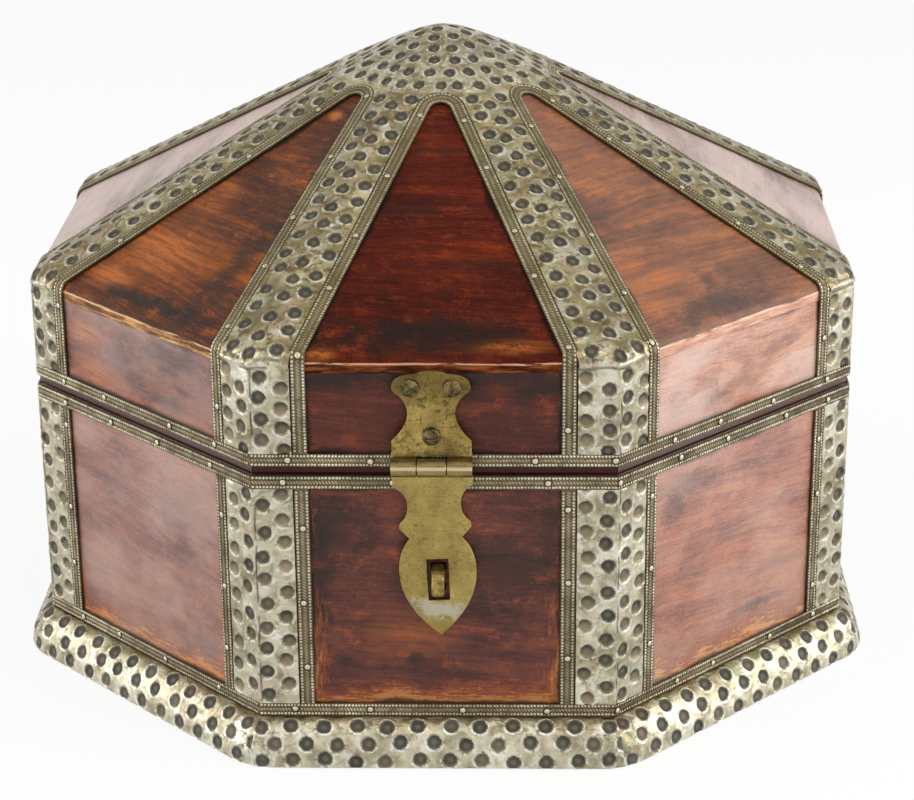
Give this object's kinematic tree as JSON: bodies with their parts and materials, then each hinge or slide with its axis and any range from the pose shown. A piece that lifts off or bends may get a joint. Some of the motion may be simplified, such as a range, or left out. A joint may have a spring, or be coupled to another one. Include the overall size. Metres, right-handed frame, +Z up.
{
  "type": "wooden jewelry box",
  "caption": "Octagonal wooden jewelry box with a hinged pyramid lid, hammered metal straps, a flared plinth and a brass hasp over a staple.",
  "frame": {"origin": "middle of the underside, on the surface the box stands on", "axes": "+Z up, -Y towards the front face with the hasp, +X to the right of someone facing the front"},
  "size_m": [0.294, 0.294, 0.2093],
  "materials": {
    "panel_wood": "stained red-brown hardwood, rubbed and worn at the edges, satin",
    "inner_wood": "plain unpolished hardwood",
    "hammered_sheet": "white metal sheet, punched all over with round dimples, patinated",
    "embossed_strip": "white metal strip embossed with beads and a rope pattern, nailed with round brads",
    "brass": "old brass sheet, mottled olive patina",
    "steel": "worn steel screws and pins"
  },
  "bodies": {
    "base": {"bottom_board": "inner_wood", "plinth_moulding": "inner_wood", "plinth_sheet": "hammered_sheet", "wall_board_front": "panel_wood", "wall_board_front_right": "panel_wood", "wall_board_right": "panel_wood", "wall_board_back_right": "panel_wood", "wall_board_back": "panel_wood", "wall_board_back_left": "panel_wood", "wall_board_left": "panel_wood", "wall_board_front_left": "panel_wood", "corner_strap_1": "hammered_sheet", "corner_strap_2": "hammered_sheet", "corner_strap_3": "hammered_sheet", "corner_strap_4": "hammered_sheet", "corner_strap_5": "hammered_sheet", "corner_strap_6": "hammered_sheet", "corner_strap_7": "hammered_sheet", "corner_strap_8": "hammered_sheet", "body_edge_strips": "embossed_strip", "staple": "brass", "hinge_body_leaf_right": "brass", "hinge_body_leaf_left": "brass"},
    "lid": {"lid_side_board_front": "panel_wood", "lid_side_board_front_right": "panel_wood", "lid_side_board_right": "panel_wood", "lid_side_board_back_right": "panel_wood", "lid_side_board_back": "panel_wood", "lid_side_board_back_left": "panel_wood", "lid_side_board_left": "panel_wood", "lid_side_board_front_left": "panel_wood", "roof_board_front": "panel_wood", "roof_board_front_right": "panel_wood", "roof_board_right": "panel_wood", "roof_board_back_right": "panel_wood", "roof_board_back": "panel_wood", "roof_board_back_left": "panel_wood", "roof_board_left": "panel_wood", "roof_board_front_left": "panel_wood", "ridge_strap_1": "hammered_sheet", "ridge_strap_2": "hammered_sheet", "ridge_strap_3": "hammered_sheet", "ridge_strap_4": "hammered_sheet", "ridge_strap_5": "hammered_sheet", "ridge_strap_6": "hammered_sheet", "ridge_strap_7": "hammered_sheet", "ridge_strap_8": "hammered_sheet", "crown_sheet": "hammered_sheet", "lid_edge_strips": "embossed_strip", "hasp_plate": "brass", "hasp_pin": "steel", "hasp_screw_upper_left": "steel", "hasp_screw_upper_right": "steel", "hasp_screw_lower": "steel", "hinge_lid_leaf_right": "brass", "hinge_lid_leaf_left": "brass", "hinge_pin_right": "steel", "hinge_pin_left": "steel"},
    "hasp": {"hasp_leaf": "brass"}
  },
  "joints": [
    {"name": "lid_hinge", "type": "hinge", "parent": "base", "child": "lid", "pos_m": [0, 0.141, 0.09905], "axis": [-1, 0, 0], "range_deg": [0, 105]},
    {"name": "hasp_hinge", "type": "hinge", "parent": "lid", "child": "hasp", "pos_m": [-0.0008, -0.1415, 0.1028], "axis": [-1, 0, 0], "range_deg": [0, 180]}
  ]
}
